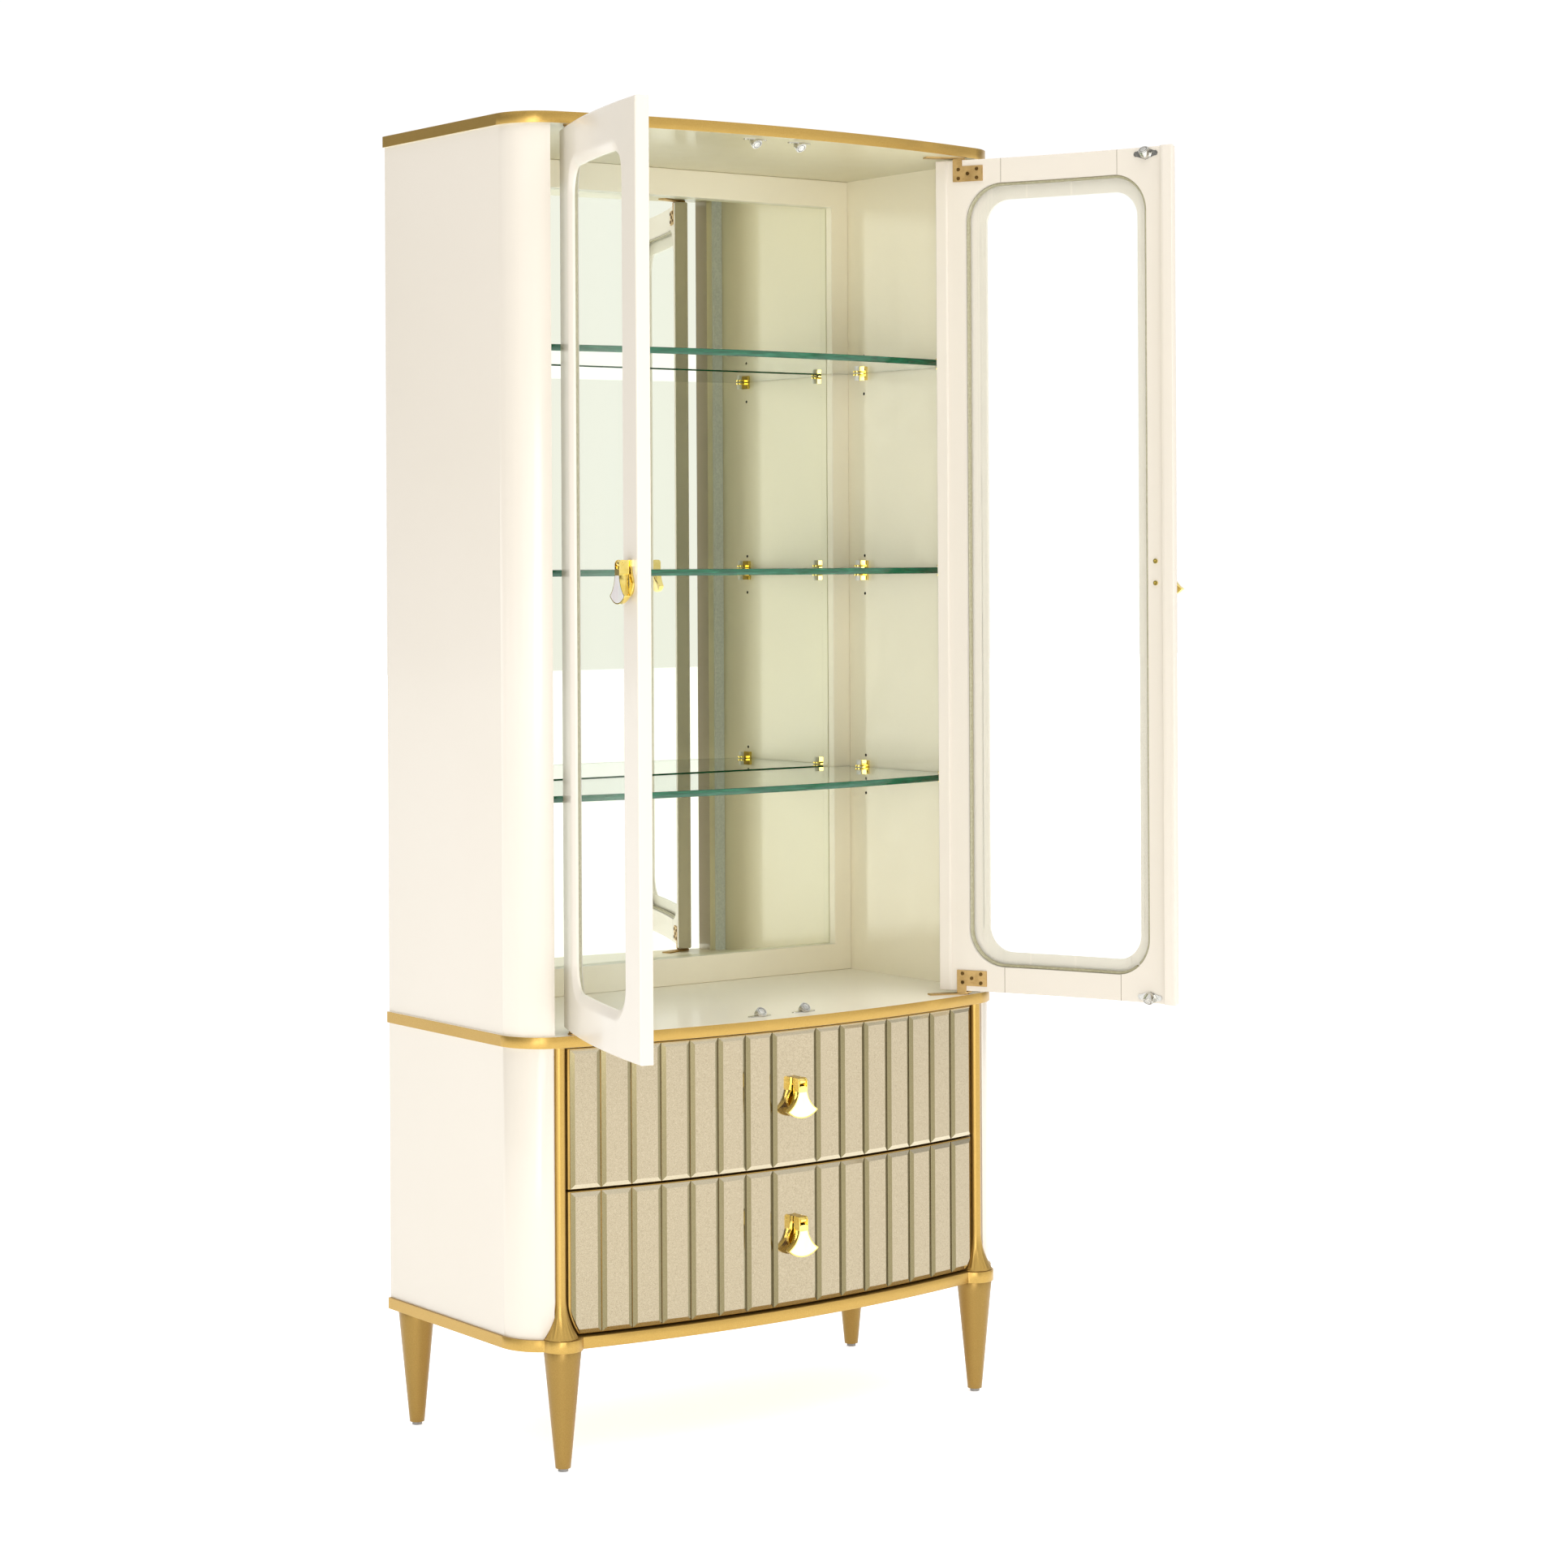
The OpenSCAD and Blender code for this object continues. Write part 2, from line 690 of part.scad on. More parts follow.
module upper_front() difference() {
  drawer_front(drawer_z2, drawer_z3);
  drawer_bores(1);
}
module lower_front() difference() {
  drawer_front(drawer_z0, drawer_z1);
  drawer_bores(0);
}
module upper_slats() difference() {
  slats(drawer_z2, drawer_z3);
  drawer_bores(1);
}
module lower_slats() difference() {
  slats(drawer_z0, drawer_z1);
  drawer_bores(0);
}
module upper_box() drawer_box(drawer_z2);
module lower_box() drawer_box(drawer_z0);
module upper_runners() runners(slide_z[1]);
module lower_runners() runners(slide_z[0]);

module at_drawer_pull(k) translate([0, cy - slat_r, drawer_pull_z[k]]) children();
module upper_pull_plate() at_drawer_pull(1) pull_plate(slat_t + board_t);
module lower_pull_plate() at_drawer_pull(0) pull_plate(slat_t + board_t);
module upper_pendant() at_drawer_pull(1) pendant();
module lower_pendant() at_drawer_pull(0) pendant();
module upper_inlay() at_drawer_pull(1) inlay();
module lower_inlay() at_drawer_pull(0) inlay();

top_panel();
deck_panel();
base_panel();
left_side_upper();
right_side_upper();
left_side_lower();
right_side_lower();
upper_back();
lower_back();
mirror_frame();
back_mirror();
pilasters();
legs();
leg_glides();
lower_shelf();
middle_shelf();
upper_shelf();
shelf_clips();
shelf_clip_pads();
cabinet_catches();
hinge_jamb_plates();
light_channels();
slide_rails();
left_hinge_stile();
left_lock_stile();
left_top_rail();
left_bottom_rail();
left_glass();
left_glass_bead();
left_hinge_leaves();
left_door_catches();
left_pull_plate();
left_pendant();
left_inlay();
right_hinge_stile();
right_lock_stile();
right_top_rail();
right_bottom_rail();
right_glass();
right_glass_bead();
right_hinge_leaves();
right_door_catches();
right_lap_strip();
right_pull_plate();
right_pendant();
right_inlay();
upper_front();
upper_slats();
upper_box();
upper_runners();
upper_pull_plate();
upper_pendant();
upper_inlay();
lower_front();
lower_slats();
lower_box();
lower_runners();
lower_pull_plate();
lower_pendant();
lower_inlay();
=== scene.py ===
"""Looks for a bow-front curio cabinet: lacquer, gilding, glass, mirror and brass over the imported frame.

Metres, in the frame of the CAD: floor at z = 0, back edge at y = 0, front towards -y.
"""

import json
import math

import bmesh
import bpy
from mathutils import Euler, Matrix, Vector
from mathutils.geometry import delaunay_2d_cdt


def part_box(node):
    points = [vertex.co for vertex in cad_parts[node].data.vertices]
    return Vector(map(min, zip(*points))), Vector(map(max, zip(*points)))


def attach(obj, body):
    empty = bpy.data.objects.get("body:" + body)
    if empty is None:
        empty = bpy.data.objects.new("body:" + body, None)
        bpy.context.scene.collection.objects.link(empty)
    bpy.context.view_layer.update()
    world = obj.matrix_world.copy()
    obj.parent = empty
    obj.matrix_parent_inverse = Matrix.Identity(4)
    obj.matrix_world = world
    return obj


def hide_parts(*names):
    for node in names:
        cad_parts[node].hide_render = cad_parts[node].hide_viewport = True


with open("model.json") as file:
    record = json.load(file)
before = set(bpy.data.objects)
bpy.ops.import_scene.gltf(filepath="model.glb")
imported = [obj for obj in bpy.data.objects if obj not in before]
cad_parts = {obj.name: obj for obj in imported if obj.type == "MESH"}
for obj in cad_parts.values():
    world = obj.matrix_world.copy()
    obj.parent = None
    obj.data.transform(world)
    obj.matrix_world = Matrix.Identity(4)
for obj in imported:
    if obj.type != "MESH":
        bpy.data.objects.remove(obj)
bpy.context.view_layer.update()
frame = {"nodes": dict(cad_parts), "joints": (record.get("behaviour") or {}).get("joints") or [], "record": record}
nodes = frame["nodes"]


# ---------- node helpers ----------

def srgb(r, g, b):
    """A colour from its 0-255 display values."""
    def linear(v):
        v /= 255
        return v / 12.92 if v <= 0.04045 else ((v + 0.055) / 1.055) ** 2.4
    return (linear(r), linear(g), linear(b), 1)


class Mat:
    """A material being built: short calls that add nodes and link them."""

    def __init__(self, name, **sockets):
        self.mat = bpy.data.materials.new(name)
        self.mat.use_nodes = True
        self.tree = self.mat.node_tree
        self.shader = self.tree.nodes["Principled BSDF"]
        self.coords = self.add("ShaderNodeTexCoord").outputs["Object"]
        self.set(**sockets)

    def add(self, kind, **props):
        node = self.tree.nodes.new(kind)
        for key, value in props.items():
            setattr(node, key, value)
        return node

    def link(self, out, to):
        self.tree.links.new(out, to)

    def set(self, **sockets):
        for key, value in sockets.items():
            self.shader.inputs[key.replace("_", " ")].default_value = value

    def noise(self, scale, detail=3, rough=0.5, stretch=(1, 1, 1)):
        """Noise in the piece's own coordinates, more crowded along an axis with a larger stretch."""
        mapping = self.add("ShaderNodeMapping")
        mapping.inputs["Scale"].default_value = stretch
        self.link(self.coords, mapping.inputs["Vector"])
        tex = self.add("ShaderNodeTexNoise")
        tex.inputs["Scale"].default_value = scale
        tex.inputs["Detail"].default_value = detail
        tex.inputs["Roughness"].default_value = rough
        self.link(mapping.outputs[0], tex.inputs["Vector"])
        return tex.outputs["Fac"]

    def ramp(self, fac, stops):
        """A colour read off a list of (place, colour) stops."""
        node = self.add("ShaderNodeValToRGB")
        ramp = node.color_ramp
        while len(ramp.elements) < len(stops):
            ramp.elements.new(0.5)
        for element, (place, colour) in zip(ramp.elements, stops):
            element.position = place
            element.color = colour
        self.link(fac, node.inputs["Fac"])
        return node.outputs["Color"]

    def spread(self, fac, low, high):
        """The middle of a noise, stretched between two values."""
        node = self.add("ShaderNodeMapRange")
        node.inputs["From Min"].default_value = 0.3
        node.inputs["From Max"].default_value = 0.7
        node.inputs["To Min"].default_value = low
        node.inputs["To Max"].default_value = high
        self.link(fac, node.inputs["Value"])
        return node.outputs["Result"]

    def bump(self, height, strength, distance):
        node = self.add("ShaderNodeBump")
        node.inputs["Strength"].default_value = strength
        node.inputs["Distance"].default_value = distance
        self.link(height, node.inputs["Height"])
        self.link(node.outputs["Normal"], self.shader.inputs["Normal"])

    def colour(self, out):
        self.link(out, self.shader.inputs["Base Color"])

    def rough(self, out):
        self.link(out, self.shader.inputs["Roughness"])


# ---------- materials ----------

GILDING_ROUGH = 0.38
GRAIN = 300             # scale of the texture of moulded plastic
COVER_LIGHT = (0.8, 0.82, 0.74, 1)      # a faint glow on the frosted light covers: painted light that brightens them where they sit in shade


def lacquer(name, base, shade):
    """Sprayed gloss lacquer: the faintest drift in the colour and a little orange peel."""
    m = Mat(name, Coat_Weight=0.3, Coat_Roughness=0.1, IOR=1.5)
    m.colour(m.ramp(m.noise(1.6, 2), [(0.35, srgb(*shade)), (0.65, srgb(*base))]))
    m.rough(m.spread(m.noise(30, 2), 0.3, 0.34))
    m.bump(m.noise(260, 1), 0.02, 0.0003)
    return m.mat


def gilding(name, low, high):
    """Satin metallic gold lacquer: fine flake in the colour, soft mottling in the sheen."""
    m = Mat(name, Metallic=0.86, Coat_Weight=0.2, Coat_Roughness=0.25)
    m.colour(m.ramp(m.noise(1100, 2, 0.7), [(0.25, srgb(*low)), (0.75, srgb(*high))]))
    m.rough(m.spread(m.noise(9, 2), GILDING_ROUGH - 0.02, GILDING_ROUGH + 0.02))
    m.bump(m.noise(1300, 2), 0.03, 0.0001)
    return m.mat


def metal(name, tint, worn, rough, grain=(1, 1, 1)):
    """Plated or polished metal with faint smears and a slight grain."""
    m = Mat(name, Metallic=1)
    m.colour(m.ramp(m.noise(60, 4), [(0.35, srgb(*worn)), (0.6, srgb(*tint))]))
    m.rough(m.spread(m.noise(160, 3, stretch=grain), rough * 0.75, rough * 1.3))
    m.bump(m.noise(1500, 2, stretch=grain), 0.04, 0.0001)
    return m.mat


def plain(name, base, shade, rough, **sockets):
    """Moulded plastic or rubber: a fine texture, no shine of its own."""
    m = Mat(name, **sockets)
    m.colour(m.ramp(m.noise(GRAIN, 3), [(0.35, srgb(*shade)), (0.65, srgb(*base))]))
    m.rough(m.spread(m.noise(GRAIN / 2, 2), rough - 0.06, rough + 0.06))
    m.bump(m.noise(GRAIN * 3, 2), 0.1, 0.0002)
    return m.mat


def shelf_glass():
    """Thick float glass, barely tinted."""
    m = Mat("shelf_glass", Transmission_Weight=1, IOR=1.45, Roughness=0)
    m.colour(m.ramp(m.noise(1.5, 1), [(0.3, srgb(240, 250, 244)), (0.7, srgb(244, 252, 247))]))
    return m.mat


def pane_glass():
    """Clear pane glass: almost all the light goes straight through, a little sheen stays."""
    m = Mat("door_glass", Alpha=0.06, IOR=1.5, Base_Color=srgb(226, 238, 222))
    m.rough(m.spread(m.noise(6, 2), 0.02, 0.04))
    m.bump(m.noise(3, 1), 0.02, 0.0003)
    return m.mat


def glass_edge():
    """The ground edge of thick glass, dark green where light leaves it."""
    m = Mat("glass_edge", IOR=1.5, Coat_Weight=0.6, Coat_Roughness=0.08)
    m.colour(m.ramp(m.noise(35, 3, stretch=(1, 1, 12)),
                    [(0.3, srgb(4, 70, 42)), (0.6, srgb(12, 92, 60)), (0.8, srgb(44, 120, 88))]))
    m.rough(m.spread(m.noise(80, 2), 0.1, 0.25))
    return m.mat


def silvering():
    """A mirror with the green cast of its glass."""
    m = Mat("silvering", Metallic=1)
    m.colour(m.ramp(m.noise(1.2, 1), [(0.3, srgb(236, 238, 222)), (0.7, srgb(240, 242, 227))]))
    m.rough(m.spread(m.noise(3, 2), 0.0, 0.008))
    return m.mat


def antique_mirror(name, dark, middle, light):
    """Champagne mirror, finely speckled under the glass."""
    m = Mat(name, Metallic=0.92, Coat_Weight=0.3, Coat_Roughness=0.02)
    m.colour(m.ramp(m.noise(700, 4, 0.8),
                    [(0.25, srgb(*dark)), (0.5, srgb(*middle)), (0.75, srgb(*light))]))
    m.rough(m.spread(m.noise(500, 3, 0.7), 0.07, 0.13))
    return m.mat


def pearl():
    """Mother-of-pearl: milky white with faint pink and green drifts."""
    m = Mat("pearl", Coat_Weight=0.8, Coat_Roughness=0.08, Roughness=0.3)
    m.colour(m.ramp(m.noise(55, 4, 0.6, stretch=(1, 1, 0.4)),
                    [(0.3, srgb(208, 198, 196)), (0.5, srgb(218, 213, 208)), (0.7, srgb(200, 204, 198))]))
    m.bump(m.noise(140, 2), 0.05, 0.0002)
    return m.mat


def birch():
    """Drawer-box wood: straight grain along x."""
    m = Mat("birch")
    m.colour(m.ramp(m.noise(26, 6, 0.6, stretch=(0.6, 4, 9)),
                    [(0.3, srgb(206, 182, 140)), (0.7, srgb(232, 214, 178))]))
    m.rough(m.spread(m.noise(40, 2, stretch=(1, 6, 12)), 0.4, 0.55))
    m.bump(m.noise(60, 4, stretch=(1, 8, 16)), 0.12, 0.0004)
    return m.mat


MATERIALS = {
    "cream_lacquer": lacquer("cream_lacquer", (219, 210, 196), (217, 208, 193)),
    "gold_lacquer": gilding("gold_lacquer", (176, 139, 65), (200, 165, 90)),
    "mirror": silvering(),
    "grey_nylon": plain("grey_nylon", (150, 147, 142), (126, 123, 118), 0.6),
    "shelf_glass": shelf_glass(),
    "door_glass": pane_glass(),
    "grey_bead": plain("grey_bead", (168, 162, 132), (150, 144, 114), 0.22),
    "white_nylon": plain("white_nylon", (244, 242, 234), (232, 229, 220), 0.5),
    "polished_brass": metal("polished_brass", (246, 222, 132), (236, 208, 108), 0.07),
    "nickel": metal("nickel", (214, 212, 205), (184, 182, 176), 0.14),
    "gold_plated_steel": metal("gold_plated_steel", (206, 174, 118), (188, 156, 102), 0.5, (1, 1, 6)),
    # painted light: the frosted covers glow faintly to lift them out of their shade
    "light_diffuser": plain("light_diffuser", (176, 180, 172), (160, 164, 156), 0.45,
                            Emission_Color=COVER_LIGHT, Emission_Strength=0.2),
    "zinc_steel": metal("zinc_steel", (176, 180, 184), (150, 154, 158), 0.3, (1, 12, 1)),
    "shell_inlay": pearl(),
    "antique_mirror": antique_mirror("antique_mirror",
                                     (134, 121, 95), (170, 156, 129), (192, 179, 154)),
    "birch": birch(),
}

# second finishes, for some faces of a piece; many are lighter or darker copies that paint in light and shade
# painted light: a lighter, yellower copy of the cream for the inside of the case, lightened to offset the shade in
# there
LIT_INTERIOR = lacquer("lit_cream_interior", (244, 235, 209), (242, 233, 206))
# painted shade: a darker, yellower copy of the cream for the shaded underside of the top
SHADED_CEILING = lacquer("ceiling", (216, 206, 170), (214, 204, 167))
# painted light: a lighter copy of the cream for the deck, to stand for light falling on it inside the case
LIT_DECK = lacquer("deck", (250, 242, 224), (248, 240, 221))
# painted reflection: a darker copy of the slat mirror for the side bevels and a lighter one for the end bevels
SHADED_SIDE_BEVEL = antique_mirror("shaded_side_bevel", (112, 101, 68), (128, 117, 83), (140, 129, 95))
LIT_END_BEVEL = antique_mirror("lit_end_bevel", (182, 170, 142), (200, 188, 160), (212, 201, 174))
SHADED_GOLD = gilding("shaded_gold", (140, 109, 50), (160, 129, 66))
# painted shade: darker screw heads stand for the dark rings of shade round them
SHADED_SCREW = metal("screw", (134, 108, 68), (96, 76, 46), 0.35)
JOINT_LINE = plain("joint_line", (126, 110, 86), (112, 96, 74), 0.6)
SHADOW = plain("pin_hole", (46, 42, 34), (36, 32, 26), 0.8)
GLASS_EDGE = glass_edge()

slot_of = {s["node"]: s["material_slot"] for s in frame["record"]["subparts"]}


# ---------- finish of the CAD pieces ----------

BOW_Y = 1.3652          # centre of the bow's circle, behind the cabinet
SCREW_HEAD = 0.012      # no loose part of a hinge plate's node is smaller than this but its screws
BOARD_IN = 0.02         # the side panel's inner face, outward from the mirror's edge
CORNER_Y = -0.3666      # where the case's inside ends, at the front corner return
HOLE_DEPTH = 0.012      # the pin holes go no deeper than this
HOLES_Y = (0.01, 0.32)  # every pin hole lies between these distances from the back

# how far each kind of piece has its edges eased, in metres
EASED = {"cream_lacquer": 0.0015, "gold_lacquer": 0.0018, "shelf_glass": 0.0008,
         "polished_brass": 0.0004, "nickel": 0.0006, "birch": 0.001}


def weld(obj):
    """Joins the imported facets."""
    obj.modifiers.new("weld", "WELD").merge_threshold = 0.00002


def ease_edges(obj, width):
    """Rounds the real edges and shades the rest smooth."""
    weld(obj)
    bevel = obj.modifiers.new("ease", "BEVEL")
    bevel.width = width
    bevel.segments = 2
    bevel.limit_method = "ANGLE"
    bevel.angle_limit = math.radians(32)
    bevel.use_clamp_overlap = True
    bevel.harden_normals = True


def crisp_edges(obj):
    """Breaks the shading at every real edge."""
    weld(obj)
    obj.modifiers.new("split", "EDGE_SPLIT").split_angle = math.radians(25)


def paint_faces(obj, material, numbers):
    """Gives a second finish to the faces with these numbers."""
    obj.data.materials.append(material)
    index = len(obj.data.materials) - 1
    for number in numbers:
        obj.data.polygons[number].material_index = index


def paint_where(obj, material, test):
    """Gives a second finish to the faces whose centre and normal pass the test."""
    faces = obj.data.polygons
    paint_faces(obj, material, [face.index for face in faces if test(face.center, face.normal)])


def small_parts(mesh, reach):
    """Numbers of the faces belonging to loose parts no larger than the reach."""
    parent = list(range(len(mesh.vertices)))

    def root(i):
        while parent[i] != i:
            parent[i] = parent[parent[i]]
            i = parent[i]
        return i

    for edge in mesh.edges:
        a, b = edge.vertices
        parent[root(a)] = root(b)
    parts = {}
    for vertex in mesh.vertices:
        parts.setdefault(root(vertex.index), []).append(vertex.co)
    small = set()
    for key, points in parts.items():
        spans = [max(p[k] for p in points) - min(p[k] for p in points) for k in range(3)]
        if max(spans) <= reach:
            small.add(key)
    return {face.index for face in mesh.polygons if root(face.vertices[0]) in small}


def sideways(place, normal):
    """How far a front face turns from the bow's own direction."""
    out = Vector((place.x, place.y - BOW_Y)).normalized()
    return normal.x * out.y - normal.y * out.x


def paint_slats(obj):
    """Flat-shaded mirror slats, with painted reflections: a darker tone on the side bevels and a lighter one on
    the end bevels.
    """
    for face in obj.data.polygons:
        face.use_smooth = False
    paint_where(obj, SHADED_SIDE_BEVEL, lambda c, n: abs(sideways(c, n)) > 0.2 and n.y < -0.3)
    paint_where(obj, LIT_END_BEVEL, lambda c, n: 0.2 < abs(n.z) < 0.8)


def paint_side(obj):
    """The inner face of an upper side panel in a lighter cream, painted light that offsets the shade inside the
    case, and the shade inside its pin holes.
    """
    inner = abs(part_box("back_mirror")[0].x) + BOARD_IN
    near, far = HOLES_Y

    def inside_case(c, n):
        return abs(c.x) < inner + 0.0015 and c.y > CORNER_Y and n.x * c.x <= 0.001

    def in_a_hole(c, n):
        return inner + 0.0012 < abs(c.x) < inner + HOLE_DEPTH and near < abs(c.y) < far

    paint_where(obj, LIT_INTERIOR, inside_case)
    paint_where(obj, SHADOW, in_a_hole)


def everywhere(centre, normal):
    """A test that every face passes."""
    return True


def finish(name, obj):
    """One CAD piece's materials and edges."""
    slot = slot_of[name]
    obj.data.materials.clear()
    obj.data.materials.append(MATERIALS[slot])
    if slot in EASED:
        ease_edges(obj, EASED[slot])
    if slot == "gold_plated_steel":
        crisp_edges(obj)
    if slot == "antique_mirror":
        paint_slats(obj)
    if slot == "shelf_glass":
        paint_where(obj, GLASS_EDGE, lambda c, n: abs(n.z) < 0.5)
    if name == "legs":
        paint_where(obj, SHADED_GOLD, everywhere)
    if name == "mirror_frame":
        # painted light: the mirror frame takes the lightened inner cream all over
        paint_where(obj, LIT_INTERIOR, everywhere)
    if name == "top_panel":
        # painted shade: both flat faces of the top panel, top and underside, take the darker ceiling cream
        paint_where(obj, SHADED_CEILING, lambda c, n: abs(n.z) > 0.9)
    if name == "deck_panel":
        # painted light: both flat faces of the deck panel take the lighter deck cream
        paint_where(obj, LIT_DECK, lambda c, n: abs(n.z) > 0.9)
    if name.endswith("hinge_leaves"):
        # painted shade on the screw heads of the hinge plates
        paint_faces(obj, SHADED_SCREW, small_parts(obj.data, SCREW_HEAD))
    if name.endswith("side_upper"):
        paint_side(obj)


for name, obj in nodes.items():
    finish(name, obj)


# ---------- pieces shown in place of CAD ones ----------

def smooth(obj, degrees):
    """Shades smooth, with a break at edges sharper than this."""
    for face in obj.data.polygons:
        face.use_smooth = True
    obj.data.set_sharp_from_angle(angle=math.radians(degrees))


def new_piece(name, verts, faces, degrees=32):
    """A mesh piece with its normals outwards."""
    mesh = bpy.data.meshes.new(name)
    mesh.from_pydata(verts, [], faces)
    obj = bpy.data.objects.new(name, mesh)
    bpy.context.scene.collection.objects.link(obj)
    work = bmesh.new()
    work.from_mesh(mesh)
    bmesh.ops.recalc_face_normals(work, faces=work.faces)
    work.to_mesh(mesh)
    work.free()
    smooth(obj, degrees)
    return obj


def stand_for(obj, node, body):
    """obj shows in place of a CAD node, on its body, with its finish."""
    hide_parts(node)
    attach(obj, body)


# ---------- door frames, as worked wood ----------

DOOR_R = 1.8137         # radius of the doors' outer face
DOOR_T = 0.0208         # thickness
LIP_T = 0.0098          # what is left in front of the glass
GLASS_T = 0.004
DOOR_Z = (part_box("left_lock_stile")[0].z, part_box("left_lock_stile")[1].z)
DOOR_X = (0.0015, 0.4045)       # free edge and hinge edge, from the middle of the closed cabinet
JOINTS_X = (0.0935, 0.2956)     # where rails meet stiles
RAISED_X = 0.386                # the hinge stile is thicker behind from here on
RAISED = 0.003                  # by this much
RAMP = 0.0012                   # over this width
MIDDLE_Z = 1.3                  # between the bottom rail and the top rail
WINDOW = (0.064, 0.711, 0.327, 1.912, 0.040)     # x0, z0, x1, z1, corner radius of the lip
ROLL = (0.0515, 0.694, 0.338, 1.930, 0.053)      # where its rounded edge begins on the face
ROLL_D = 0.0062                 # depth of that rounded edge
REBATE = (0.042, 0.6875, 0.356, 1.9387, 0.060)   # the recess for the glass, cut from the back
FRONT_EASE = 0.003              # radius round the door's outer edge, in front
BACK_EASE = 0.0012              # and behind
JOINT_V = (0.0003, 0.0004)      # depth of the hairline where a rail meets a stile, in front and behind
UPRIGHT_STEP = 0.0155           # strip width that lets the flat facets follow the bow
BEAD_W = 0.0048
BEAD_SHY = 0.0015               # the bead's top stays this far under the back face
hinge_of = {j["child"]: j for j in frame["joints"]}


def between(a, b, t):
    """A rounded rectangle part way from a to b."""
    return tuple(p + (q - p) * t for p, q in zip(a, b))


def inset(rect, margin):
    """A rounded rectangle this much smaller all round."""
    x0, z0, x1, z1, r = rect
    return (x0 + margin, z0 + margin, x1 - margin, z1 - margin, r - margin)


def inside(rect, x, z):
    """Signed distance to a rounded rectangle: below zero inside it."""
    x0, z0, x1, z1, r = rect
    dx = abs(x - (x0 + x1) / 2) - (x1 - x0) / 2 + r
    dz = abs(z - (z0 + z1) / 2) - (z1 - z0) / 2 + r
    return math.hypot(max(dx, 0), max(dz, 0)) + min(max(dx, dz), 0) - r


def outline(rect, steps=32):
    """Points round a rounded rectangle."""
    x0, z0, x1, z1, r = rect
    points = []
    centres = [(x1 - r, z1 - r), (x0 + r, z1 - r), (x0 + r, z0 + r), (x1 - r, z0 + r)]
    for turn, (cx, cz) in enumerate(centres):
        for k in range(steps + 1):
            a = math.radians(90 * (turn + k / steps))
            points.append((cx + r * math.cos(a), cz + r * math.sin(a)))
    return points


def eased(distance, r):
    """How far a rounded edge of radius r has dropped at this distance in from the corner."""
    return r - math.sqrt(max(r * r - (r - distance) ** 2, 0)) if distance < r else 0


def from_joint(x):
    """Distance to the nearer line where a rail meets a stile."""
    return min(abs(x - j) for j in JOINTS_X)


def from_rim(x, z):
    """Distance in from the door's outer edge, nothing beyond it."""
    return max(min(x - DOOR_X[0], DOOR_X[1] - x, z - DOOR_Z[0], DOOR_Z[1] - z), 0)


def front_depth(x, z):
    """Depth of the front surface behind the bowed face."""
    low, high = 0.0, 1.0
    if inside(ROLL, x, z) < 0:
        for _ in range(18):
            mid = (low + high) / 2
            low, high = (mid, high) if inside(between(WINDOW, ROLL, mid), x, z) > 0 else (low, mid)
        depth = ROLL_D * (1 - math.sin(math.radians(90 * high)) ** 0.9)
    else:
        depth = 0
    return depth + eased(from_rim(x, z), FRONT_EASE) + max(0, JOINT_V[0] - from_joint(x))


def back_depth(x, z):
    """Depth of the back surface: full, thicker by the hinges, less in the glass rebate."""
    if inside(REBATE, x, z) < -0.0001:      # the corners are chords, a little inside their arcs
        return LIP_T
    raised = RAISED * min(1, max(0, (x - RAISED_X) / RAMP))
    return DOOR_T + raised - eased(from_rim(x, z), BACK_EASE) - max(0, JOINT_V[1] - from_joint(x))


def door_turn(side):
    """The turn from the closed door to the door as it stands open."""
    hinge = hinge_of["right_door" if side > 0 else "left_door"]
    return Matrix.Rotation(math.radians(-hinge["range_deg"][0 if side > 0 else 1]), 4, "Z")


def on_door(side, x, depth, z):
    """A point of the closed door, by its distance behind the outer face, as the door stands open."""
    hinge = hinge_of["right_door" if side > 0 else "left_door"]
    r = DOOR_R - depth
    point = Vector((side * x, BOW_Y - math.sqrt(r * r - x * x), 0))
    pivot = Vector(hinge["pos_m"][:2] + [0])
    return door_turn(side) @ (point - pivot) + pivot + Vector((0, 0, z))


def door_plan():
    """The door's elevation, cut into triangles that follow every edge and the bow."""
    points, edges = [], []

    def line(run, closed=True):
        first = len(points)
        points.extend(Vector(p) for p in run)
        count = len(run)
        edges.extend((first + k, first + (k + 1) % count) for k in range(count if closed else count - 1))

    for t in (0, 0.12, 0.25, 0.4, 0.6, 0.8, 1):
        line(outline(between(WINDOW, ROLL, t)))
    for margin in (0, 0.00025):
        line(outline(inset(REBATE, margin)))
    for margin in (0, 0.0003, 0.0009, 0.0018, FRONT_EASE):
        x0, z0, x1, z1, _ = inset((DOOR_X[0], DOOR_Z[0], DOOR_X[1], DOOR_Z[1], 0), margin)
        line([(x0, z0), (x1, z0), (x1, z1), (x0, z1)])
    uprights = [DOOR_X[0] + UPRIGHT_STEP * k for k in range(1, 26)]
    uprights += [RAISED_X, RAISED_X + RAMP]
    uprights += [j + d for j in JOINTS_X for d in (-JOINT_V[1], 0, JOINT_V[1])]
    for x in uprights:
        line([(x, DOOR_Z[0]), (x, DOOR_Z[1])], closed=False)
    verts, _, faces, *_ = delaunay_2d_cdt(points, edges, [], 0, 1e-6)
    middle = [sum((verts[i] for i in face), Vector((0, 0))) / 3 for face in faces]
    kept = [(face, m) for face, m in zip(faces, middle) if inside(WINDOW, m.x, m.y) > 0]
    return verts, kept


